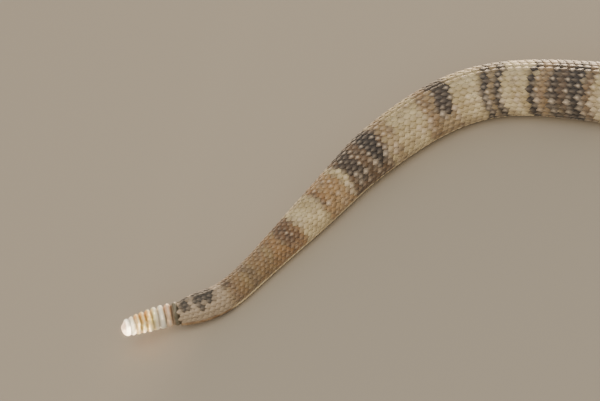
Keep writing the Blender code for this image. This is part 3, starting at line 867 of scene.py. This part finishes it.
def place_seeds():
    """Seeds of all head scales: the named plates' own, and small ones thrown and relaxed between."""
    chance = np.random.default_rng(SEED + 3)
    places, labels, kinds = [], [], []
    for kind, seeds in named_plates():
        label = -1 if kind is None else len(kinds)
        if kind is not None:
            kinds.append(kind)
        for seed in seeds:
            places.append(on_head(seed)[0])
            labels.append(label)
    fixed = len(places)
    samples = HEAD_POINTS.reshape(-1, 3)
    step_along, step_round = np.gradient(HEAD_POINTS, axis=0), np.gradient(HEAD_POINTS, axis=1)
    area = np.linalg.norm(np.cross(step_along, step_round), axis=-1).ravel()
    samples, area = samples[samples[:, 0] > 0.5], area[samples[:, 0] > 0.5]
    order = chance.permutation(len(samples))
    size, measured = granule_size(samples), drawn_out(samples)
    kept, kept_measured = np.array(places), drawn_out(places)
    for n in order:
        gap = np.linalg.norm(kept_measured - measured[n], axis=1).min()
        if gap > size[n] * 0.80:
            kept = np.vstack([kept, samples[n]])
            kept_measured = np.vstack([kept_measured, measured[n]])
    for _ in range(RELAXING):
        nearest = np.concatenate([
            np.linalg.norm(part[:, None] - drawn_out(kept)[None], axis=2).argmin(axis=1)
            for part in np.array_split(measured, 40)
        ])
        for n in range(fixed, len(kept)):
            mine = nearest == n
            if mine.any():
                kept[n] = on_head(np.average(samples[mine], axis=0, weights=area[mine]))[0]
    for place in kept[fixed:]:
        start = THROAT_SCALES_FROM if place[2] < 1.5 else HEAD_SCALES_FROM
        if place[0] < start:
            labels.append(-1)
        else:
            labels.append(len(kinds))
            kinds.append("granule")
    return kept, np.array(labels), kinds


def cell_radii(centre, first, second, label, tree, labels):
    """Distance from a scale's middle to its border, in each direction round it."""
    radii = []
    for k in range(CELL_CORNERS):
        turn = 2 * math.pi * k / CELL_CORNERS
        way = first * math.cos(turn) + second * math.sin(turn)
        low, high = 0.0, 0.3
        while high < CELL_REACH and labels[tree.find(drawn_out(centre + way * high))[1]] == label:
            low, high = high, high + 0.3
        for _ in range(5):
            middle = (low + high) / 2
            if labels[tree.find(drawn_out(centre + way * middle))[1]] == label:
                low = middle
            else:
                high = middle
        radii.append(low)
    radii = np.array(radii)
    return radii * 0.8 + (np.roll(radii, 1) + np.roll(radii, -1)) * 0.1


def nearest_of(places):
    """A tree that finds the nearest of these places."""
    tree = KDTree(len(places))
    for n, place in enumerate(places):
        tree.insert(Vector(place), n)
    tree.balance()
    return tree


def ways_along(normal):
    """Backward and sideways over the head, where this is the way out of it."""
    backward = np.array([-1.0, 0.0, 0.0]) - normal * -normal[0]
    if np.linalg.norm(backward) < 0.3:
        backward = np.array([0.0, 0.0, 1.0]) - normal * normal[2]
    backward /= np.linalg.norm(backward)
    return backward, np.cross(normal, backward)


def grown_plate(kind, centre, normal, backward, beside, radii):
    """The points of one domed plate, and (along, across, ridge, spot) for each of them."""
    thick = PLATE_THICKNESS[kind]
    rear = ease((27.0 - centre[0]) / 12.0)
    tilt, keel = PLATE_TILT, 0.0
    if kind == "granule":
        tilt = GRANULE_TILT + REAR_TILT * rear
        keel = REAR_KEEL * rear * ease((centre[2] - 5.0) / 4.0)
    whole = np.mean(radii)
    points, notes = [], []
    for share, height in RINGS:
        for k, radius in enumerate(radii):
            turn = 2 * math.pi * k / CELL_CORNERS
            back, across = math.cos(turn) * radius * share, math.sin(turn) * radius * share
            flat = centre + backward * back + beside * across
            place, out = on_head(flat) if share > 0 else (centre, normal)
            rise = height * thick * min(MOST_GROWN, whole)
            if height > 0:
                rise += tilt * back / whole + keel * bump(across, GRANULE_KEEL_WIDTH) * (1 - share**4)
            points.append(place + out * rise)
            # Painted highlight along the keels of the rear granules
            ridge = bump(across, GRANULE_SHEEN_WIDTH) if keel > 0.05 else 0.0
            notes.append((0.5 + 0.5 * back / whole, across / whole, ridge, 1 - share**2))
            if share == 0:
                break
    return points, notes


def plate_faces(number):
    """The faces of so many plates: quads between rings, a fan in the middle and one face below."""
    k = np.arange(CELL_CORNERS)
    turned = (k + 1) % CELL_CORNERS
    rings = len(RINGS) - 1
    quads = np.concatenate([
        np.stack([k, turned, turned + CELL_CORNERS, k + CELL_CORNERS], axis=1) + CELL_CORNERS * r
        for r in range(rings - 1)
    ])
    last = CELL_CORNERS * (rings - 1)
    tips = np.stack([k + last, turned + last, np.full(CELL_CORNERS, PLATE_POINTS - 1)], axis=1)
    return [repeated(part, PLATE_POINTS, number) for part in (quads, tips, k[::-1].reshape(1, -1))]


def make_head_scales(material):
    """Every head scale as a closed, domed plate; the rear ones are keeled like the back's."""
    seeds, labels, kinds = place_seeds()
    tree, grid = nearest_of(drawn_out(seeds)), nearest_of(HEAD_POINTS.reshape(-1, 3))
    chance = np.random.default_rng(SEED + 4)
    points, notes, plates = [], [], []
    for label, kind in enumerate(kinds):
        centre, normal = on_head(seeds[labels == label].mean(axis=0))
        backward, beside = ways_along(normal)
        radii = cell_radii(centre, backward, beside, label, tree, labels) - CELL_GAP
        radii = np.maximum(radii, SMALLEST_CELL)
        found = grown_plate(kind, centre, normal, backward, beside, radii)
        points += found[0]
        notes += found[1]
        share = HEAD_SHARE.ravel()[grid.find(Vector(centre))[1]]
        plates.append((HEAD_START + centre[0], share, chance.random(), kind == "lip"))
    along, across, ridge, spot = np.array(notes).T
    t, share, luck, lip = np.repeat(np.array(plates, dtype=float), PLATE_POINTS, axis=0).T
    masks = markings(t, share, luck)
    masks["streak"] = np.maximum(masks["streak"], lip * 0.5)
    masks.update(along=along, ridge=ridge, spot=spot, chance=luck)
    uv = patch_uv((t - HEAD_START) / HEAD_LENGTH, (0.5 + share / 2) % 1.0, along, across, HEAD_PATCH)
    mesh = make_mesh("head_scales", in_head(np.array(points)), plate_faces(len(kinds)), masks, uv)
    return add_piece("head_scales", mesh, material, ["head", "lower_jaw"])


# Eyes

EYE_RINGS, EYE_AROUND = 28, 40
EYE_FORWARD, EYE_UPWARD = 14.0, 8.0


def make_eye(name, solid, side, material):
    """A ball turned a little forward, whose slit pupil and iris are drawn from its own angles."""
    ahead, raised = math.radians(EYE_FORWARD), math.radians(EYE_UPWARD)
    look = np.array([math.sin(ahead), math.cos(ahead) * math.cos(raised) * side, math.sin(raised)])
    look /= np.linalg.norm(look)
    across = np.cross([0.0, 0.0, 1.0], look) * side
    across /= np.linalg.norm(across)
    up = np.cross(look, across) * side
    polar = np.linspace(0.0, np.pi, EYE_RINGS + 2)[1:-1, None]
    turn = np.linspace(0.0, 2 * np.pi, EYE_AROUND, endpoint=False)[None, :]
    x, y, z = np.sin(polar) * np.cos(turn), np.sin(polar) * np.sin(turn), np.cos(polar) + 0 * turn
    unit = np.concatenate([[[0, 0, 1.0]], np.stack([x, y, z], axis=-1).reshape(-1, 3), [[0, 0, -1.0]]])
    place = (across * unit[:, :1] + up * unit[:, 1:2] + look * unit[:, 2:]) * EYE_RADIUS
    place = place + mirrored(EYE_PLACE, side)
    k = np.arange(EYE_AROUND)
    beside = (k + 1) % EYE_AROUND
    caps = np.concatenate([
        np.stack([np.zeros_like(k), 1 + k, 1 + beside], axis=1),
        np.stack([np.full_like(k, len(unit) - 1), 1 + beside, 1 + k], axis=1)
        + np.array([0, 1, 1]) * EYE_AROUND * (EYE_RINGS - 1),
    ])
    quads = ring_faces(EYE_RINGS, EYE_AROUND, 1)
    if side < 0:
        caps, quads = caps[:, ::-1], quads[:, ::-1]
    notes = {"iris_across": unit[:, 0], "iris_up": unit[:, 1], "iris_out": unit[:, 2]}
    mesh = make_mesh(name, in_head(place), [caps, quads], notes)
    return add_piece(name, mesh, material, [solid])


# The rattle

BELL_RINGS, BELL_AROUND = 26, 72
GROWTH_RIDGE, GROWTH_RIDGES = 0.012, 24.0
WORN, BELL_SHIFT, BELL_SLOPE, BELL_FIT = (0.010, 0.006), 0.12, 0.03, 0.004


def rattle_section(half_height, turn):
    """A tall oval with a groove along each side."""
    middle = through(WIDTHS, RATTLE_END) * through(HEIGHT_SHARES, RATTLE_END) / 2
    side, up = np.sin(turn), np.cos(turn)
    pinch = 1 - RATTLE_GROOVE * bump(up, RATTLE_GROOVE_WIDTH)
    return side * pinch * half_height * RATTLE_WIDTH_SHARE, middle + up * half_height


def make_rattle(material):
    """Nested horn bells, each worn and set a little differently, on the line of the tail."""
    chance = np.random.default_rng(SEED + 5)
    pitches = np.linspace(*SEGMENT_PITCHES, SEGMENTS)
    turn = np.linspace(0, 2 * np.pi, BELL_AROUND, endpoint=False)[None, :]
    points, faces, notes = [], [], {"from_tip": [], "lobe": []}
    ends = []
    for number in range(SEGMENTS):
        front = RATTLE_END - JOINT_GAP / 2 - pitches[:number].sum()
        base, tip = RATTLE_HEIGHTS
        half_height = (base + (tip - base) * (number / (SEGMENTS - 1)) ** 2) / 2
        start = -SEGMENT_ROOT / pitches[number] if number else 0.0
        bell = ([(start, SEGMENT_ROOT_SIZE)] if number else []) + SEGMENT_BELL
        along = np.linspace(start, SEGMENT_BELL[-1][0], BELL_RINGS)[:, None]
        size = through(bell, along)
        growth = GROWTH_RIDGE * np.sin(along * GROWTH_RIDGES + number) * ease(along / 0.2)
        worn = WORN[0] * np.sin(turn * 3 + chance.uniform(0, 6))
        worn = worn + WORN[1] * np.sin(turn * 7 + number * 2.0)
        half = half_height * (size + growth + worn * ease(along / 0.3)) * (1 - BELL_FIT)
        side, up = rattle_section(half, turn)
        shift = chance.uniform(-BELL_SHIFT, BELL_SHIFT) * min(1, number)
        slope = 1 - BELL_SLOPE * (up - up.mean())
        t = front - along * pitches[number] * slope
        frame_base, _, left, upward = frames_at(t)
        place = frame_base + left * (side + shift)[..., None] + upward * up[..., None]
        first = number * BELL_RINGS * BELL_AROUND
        faces.append(ring_faces(BELL_RINGS, BELL_AROUND, first)[:, ::-1])
        ends.append(first + np.arange(BELL_AROUND)[::-1])
        ends.append(first + (BELL_RINGS - 1) * BELL_AROUND + np.arange(BELL_AROUND))
        points.append(place.reshape(-1, 3))
        notes["from_tip"].append(t.ravel())
        notes["lobe"].append((size + 0 * turn).ravel())
    notes = {name: np.concatenate(values) for name, values in notes.items()}
    faces = [np.concatenate(faces), np.array(ends)]
    mesh = make_mesh("rattle_horn", np.concatenate(points), faces, notes)
    return add_piece("rattle_horn", mesh, material, ["rattle"])


# Materials

# What a colour goes by: a mask's name, lumps of noise or a node's output. Between low and high
# of it, the colour's share goes from least to most
By = namedtuple("By", "source low high least most", defaults=(0.0, 1.0, 0.0, 1.0))
Lumps = namedtuple("Lumps", "millimetres detail roughness", defaults=(2.0, 0.5))


def linear(colour):
    """A linear colour from an sRGB hex value."""
    parts = [int(colour[k : k + 2], 16) / 255 for k in (1, 3, 5)]
    parts = [p / 12.92 if p <= 0.04045 else ((p + 0.055) / 1.055) ** 2.4 for p in parts]
    return (*parts, 1.0)


def node(tree, kind, settings, sockets, out=0):
    """Adds a node with its settings; a socket takes a number, a hex colour or a node's output."""
    made = tree.nodes.new(kind)
    for key, value in settings.items():
        setattr(made, key, value)
    for key, value in sockets.items():
        if isinstance(value, bpy.types.NodeSocket):
            tree.links.new(value, made.inputs[key])
        else:
            made.inputs[key].default_value = linear(value) if isinstance(value, str) else value
    return made.outputs[out]


def new_material(name):
    """An empty material, its node tree and its shader."""
    made = bpy.data.materials.new(name)
    made.use_nodes = True
    return made, made.node_tree, made.node_tree.nodes["Principled BSDF"]


def share_of(tree, *factors):
    """The product of masks and noises in the animal's own space, each brought to its range."""
    product = 1.0
    for source, low, high, least, most in factors:
        if isinstance(source, str):
            source = node(tree, "ShaderNodeAttribute", {"attribute_name": source}, {}, out=2)
        elif isinstance(source, Lumps):
            sockets = {"Detail": source.detail, "Roughness": source.roughness}
            sockets["Scale"] = 1.0 / (source.millimetres * MM)
            sockets["Vector"] = node(tree, "ShaderNodeTexCoord", {}, {}, out=3)
            source = node(tree, "ShaderNodeTexNoise", {}, sockets)
        sockets = {"Value": source, "From Min": low, "From Max": high, "To Min": least, "To Max": most}
        brought = node(tree, "ShaderNodeMapRange", {}, sockets)
        product = node(tree, "ShaderNodeMath", {"operation": "MULTIPLY"}, {0: brought, 1: product})
    return product


def painted(tree, colour, *layers):
    """A colour with others laid over it; each layer is a colour and all that it goes by."""
    for over, *factors in layers:
        sockets = {0: share_of(tree, *factors), 6: colour, 7: over}
        colour = node(tree, "ShaderNodeMix", {"data_type": "RGBA"}, sockets, out=2)
    return colour


def dressed(tree, shader, colour, grain, depth):
    """Gives the shader its colour, and a relief of this grain and this depth in mm."""
    tree.links.new(colour, shader.inputs["Base Color"])
    sockets = {"Strength": 1.0, "Distance": depth * MM, "Height": share_of(tree, By(grain))}
    tree.links.new(node(tree, "ShaderNodeBump", {}, sockets), shader.inputs["Normal"])


SNAKE = {
    "cream": "#D5C59C", "tan": "#AC986E", "olive": "#8E7852", "ochre": "#956B3D", "brown": "#63533F",
    "dark": "#2A221C", "mauve": "#7D6859", "pale": "#DCCBB4", "grey": "#A3927A", "black": "#39332A",
    "belly": "#E3D0A4", "head": "#AC9369", "dusty": "#A0966F",
}


def snake_colour(tree):
    """The markings of the animal, the same on its skin and its coat."""
    band = painted(tree, SNAKE["brown"], (SNAKE["ochre"], By("warm")))
    blotch = painted(tree, SNAKE["dark"], (SNAKE["black"], By("grey")))
    return painted(
        tree,
        SNAKE["tan"],
        (SNAKE["cream"], By(Lumps(9.0), 0.4, 0.62)),
        (SNAKE["cream"], By("flank", most=0.35)),
        (SNAKE["dusty"], By("flank", 0.35, 0.0, 0.0, 0.3)),
        (SNAKE["olive"], By("tail")),
        (SNAKE["grey"], By("grey")),
        (SNAKE["head"], By("head")),
        (band, By("brown")),
        (SNAKE["mauve"], By(Lumps(6.0), 0.5, 0.7, 0.0, 0.42)),
        (blotch, By(Lumps(2.6, 3.0, 0.6), 0.48, 0.62, 0.0, 0.55), By("brown")),
        (blotch, By("dark")),
        (SNAKE["dark"], By(Lumps(0.7, 3.0, 0.7), 0.52, 0.66), By("chance", 0.35, 0.95, 0.0, 0.75)),
        (SNAKE["pale"], By("streak", most=0.33)),
        (SNAKE["pale"], By("pale"), By("spot", most=0.8)),
        (SNAKE["belly"], By("belly")),
    )


def dry_keratin_scales():
    """Horny snake scales grown in overlapping rows: dry and matt, with a soft sheen and a painted highlight
    on each keel, and painted shade at each root.
    """
    made, tree, shader = new_material("dry_keratin_scales")
    # Painted highlight: pale along each keel, strongest toward the tip
    keel = (SNAKE["pale"], By("ridge"), By("along", 0.4, 0.9, 0.0, 0.25))
    # Painted shade: darker at each scale's root, where the scale ahead lies over it
    root = (SNAKE["dark"], By("along", 0.35, 0.0, 0.0, 0.3))
    dressed(tree, shader, painted(tree, snake_colour(tree), keel, root), Lumps(0.35, 3.0, 0.6), 0.05)
    roughness = share_of(tree, By(Lumps(1.2), 0.3, 0.7, 0.42, 0.62))
    tree.links.new(roughness, shader.inputs["Roughness"])
    shader.inputs["IOR"].default_value = 1.54
    shader.inputs["Sheen Weight"].default_value = 0.15
    return made


SKIN_DARKENING = 0.45


def soft_skin():
    """Living skin between the scales, finely folded: dull and a little darker than the coat, with painted
    shade near black in the head's pits, nostrils, eye rims and mouth groove.
    """
    made, tree, shader = new_material("soft_skin")
    sockets = {0: SKIN_DARKENING, 6: snake_colour(tree), 7: SNAKE["dark"]}
    darker = node(tree, "ShaderNodeMix", {"data_type": "RGBA"}, sockets, out=2)
    # Painted shade: near black in the pits, nostrils, eye rims and mouth groove, darker the deeper they are
    # sunk
    colour = painted(tree, darker, ("#1E1713", By("sunk", 0.35, 1.0)))
    dressed(tree, shader, colour, Lumps(0.5), 0.08)
    shader.inputs["Roughness"].default_value = 0.7
    return made


def smooth_belly_keratin():
    """Belly scutes worn smooth by crawling: pale cream with a low satin gloss, and browner under the lifted
    tail as painted shade.
    """
    made, tree, shader = new_material("smooth_belly_keratin")
    colour = painted(
        tree,
        SNAKE["belly"],
        ("#F0E8D6", By("along", 0.6, 1.0, 0.0, 0.3)),
        # Painted shade: browner under the lifted tail, which lies in shadow
        ("#7E6347", By("grey")),
        ("#CDB48F", By(Lumps(5.0), 0.45, 0.7, 0.0, 0.5)),
    )
    dressed(tree, shader, colour, Lumps(0.8), 0.03)
    shader.inputs["Roughness"].default_value = 0.36
    shader.inputs["IOR"].default_value = 1.54
    return made


PUPIL_NARROW, PUPIL_SHORT = 16.0, 1.7


def wet_eye_scale():
    """The clear scale over the eye, wet-looking glass over a grey-tan iris with an upright slit."""
    made, tree, shader = new_material("wet_eye_scale")
    slit = 0.0
    for name, squeeze in (("iris_across", PUPIL_NARROW), ("iris_up", PUPIL_SHORT)):
        away = node(tree, "ShaderNodeAttribute", {"attribute_name": name}, {}, out=2)
        square = node(tree, "ShaderNodeMath", {"operation": "MULTIPLY"}, {0: away, 1: away})
        sockets = {0: square, 1: squeeze, 2: slit}
        slit = node(tree, "ShaderNodeMath", {"operation": "MULTIPLY_ADD"}, sockets)
    colour = painted(
        tree,
        "#6E5A3E",
        ("#B79E74", By(Lumps(0.22, 4.0, 0.7), 0.38, 0.62)),
        ("#D2BE94", By("iris_up", 0.1, 0.7, 0.0, 0.6)),
        ("#1B1510", By("iris_out", 0.72, 0.56)),
        ("#050404", By(slit, 1.08, 0.92)),
    )
    tree.links.new(colour, shader.inputs["Base Color"])
    shader.inputs["Roughness"].default_value = 0.12
    shader.inputs["IOR"].default_value = 1.40
    shader.inputs["Coat Weight"].default_value = 1.0
    shader.inputs["Coat Roughness"].default_value = 0.02
    return made


# Where each colour of the rattle starts and is full, in mm from its tip
HORN_COLOURS = [
    (2.8, 6.5, "#EDAC58"), (12.5, 15.5, "#FBDDA2"), (15.5, 18.0, "#FFF0D2"), (19.8, 21.8, "#CDA689"),
]
# Bleached horn of the tip, also laid on each bell's crest as painted highlight
BLEACHED_HORN_AND_CREST_HIGHLIGHT = "#FFF6E4"


def dry_rattle_horn():
    """Hollow dry horn, thin enough to glow: grey-green where it grows, amber, bleached at the tip, with
    painted highlight on each bell's crest and painted shade in the grooves between bells.
    """
    made, tree, shader = new_material("dry_rattle_horn")
    colour = painted(
        tree,
        BLEACHED_HORN_AND_CREST_HIGHLIGHT,
        *[(colour, By("from_tip", start, end)) for start, end, colour in HORN_COLOURS],
        ("#FFE2B4", By(Lumps(1.6, 3.0), 0.4, 0.65, 0.0, 0.3)),
        # Painted highlight: paler on the crest of each bell
        (BLEACHED_HORN_AND_CREST_HIGHLIGHT, By("lobe", 0.96, 1.0, 0.0, 0.25)),
        # Painted shade: darker amber in the grooves between bells
        ("#B07D48", By("lobe", 0.92, 0.80, 0.0, 0.4)),
        ("#53574A", By("from_tip", 23.6, 25.8, 0.0, 0.9)),
    )
    dressed(tree, shader, colour, Lumps(0.5, 3.0), 0.06)
    shader.inputs["Roughness"].default_value = 0.38
    shader.inputs["IOR"].default_value = 1.54
    shader.inputs["Subsurface Weight"].default_value = 1.0
    shader.inputs["Subsurface Radius"].default_value = (1.0, 0.97, 0.92)
    shader.inputs["Subsurface Scale"].default_value = 6.0 * MM
    return made


def matt_floor_paint():
    """Flat pale paint, rolled on: no gloss at all, so that only the soft shadow shows on it."""
    made, _, shader = new_material("matt_floor_paint")
    shader.inputs["Base Color"].default_value = linear("#A39B8D")
    shader.inputs["Roughness"].default_value = 0.85
    return made


# The scene


FLOOR_WIDTH = 12.0
ROOM_COLOUR, ROOM_STRENGTH = "#E4DED4", 0.75
# Name, place, aim, size, watts, colour and how widely it shines in degrees
LIGHTS = [
    ("warm_back", (0.95, 1.95, 0.12), (-0.2, 0.0, 0.02), (1.6, 0.14), 140, "#FFE4C2", 180.0),
    ("rattle_spot", (-1.5, -1.9, 0.01), (-0.418, -0.036, 0.022), (0.016, 0.016), 0.07, "#FFE4C2", 1.4),
    ("soft_top", (-0.4, -0.9, 2.4), (-0.2, 0.0, 0.0), (2.4, 2.4), 34, "#FFF4E6", 180.0),
    ("soft_front", (-0.9, -2.2, 1.0), (-0.2, 0.0, 0.0), (2.0, 1.4), 20, "#FFF0DC", 180.0),
]


def make_floor():
    bpy.ops.mesh.primitive_plane_add(size=FLOOR_WIDTH)
    floor = bpy.context.object
    floor.name = "floor"
    floor.data.materials.append(matt_floor_paint())


def add_light(name, place, aim, size, watts, colour, spread_degrees):
    """A soft box, which the camera doesn't see."""
    lamp = bpy.data.lights.new(name, "AREA")
    lamp.shape = "RECTANGLE"
    lamp.size, lamp.size_y = size
    lamp.spread = math.radians(spread_degrees)
    lamp.energy = watts
    lamp.color = linear(colour)[:3]
    made = bpy.data.objects.new(name, lamp)
    made.location = place
    made.rotation_euler = (Vector(aim) - Vector(place)).to_track_quat("-Z", "Y").to_euler()
    made.visible_camera = False
    bpy.context.scene.collection.objects.link(made)


def make_lights():
    """A low lamp behind draws the bright upper outline, a spot the rattle's glow, and fill the rest."""
    for light in LIGHTS:
        add_light(*light)
    world = bpy.data.worlds.new("soft_room")
    bpy.context.scene.world = world
    world.use_nodes = True
    background = world.node_tree.nodes["Background"]
    background.inputs["Color"].default_value = linear(ROOM_COLOUR)
    background.inputs["Strength"].default_value = ROOM_STRENGTH


def make_camera():
    """A long lens from above the animal's right side, rolled so that the tail runs down aslant."""
    elevation, roll = math.radians(CAMERA_ELEVATION), math.radians(CAMERA_ROLL)
    ahead = Vector((0.0, math.cos(elevation), -math.sin(elevation)))
    level_up = Vector((0.0, math.sin(elevation), math.cos(elevation)))
    right = Vector((1.0, 0.0, 0.0)) * math.cos(roll) - level_up * math.sin(roll)
    up = Vector((1.0, 0.0, 0.0)) * math.sin(roll) + level_up * math.cos(roll)
    lens = bpy.data.cameras.new("camera")
    lens.lens = CAMERA_LENS
    lens.sensor_width = SENSOR
    lens.clip_end = 50.0
    camera = bpy.data.objects.new("camera", lens)
    matrix = Matrix((right, up, -ahead)).transposed().to_4x4()
    matrix.translation = (Vector(CAMERA_TARGET) - ahead * CAMERA_DISTANCE) * MM
    camera.matrix_world = matrix
    bpy.context.scene.collection.objects.link(camera)
    bpy.context.scene.camera = camera


HEAD_POINTS, HEAD_T, HEAD_SHARE = head_grid()
HEAD_NORMALS = grid_normals(HEAD_POINTS)
HEAD_TREE = BVHTree.FromPolygons(
    HEAD_POINTS.reshape(-1, 3).tolist(), ring_faces(len(HEAD_POINTS), HEAD_AROUND, 0).tolist()
)
LIP = lip_line()
LIP_LENGTH = float(np.linalg.norm(np.diff(LIP, axis=0), axis=1).sum())

scales = dry_keratin_scales()
make_skin(soft_skin())
make_back_scales(scales)
make_belly_scutes(smooth_belly_keratin())
make_head_scales(scales)
eye_finish = wet_eye_scale()
make_eye("left_eyeball", "eye_left", 1, eye_finish)
make_eye("right_eyeball", "eye_right", -1, eye_finish)
make_rattle(dry_rattle_horn())
make_floor()
make_lights()
make_camera()
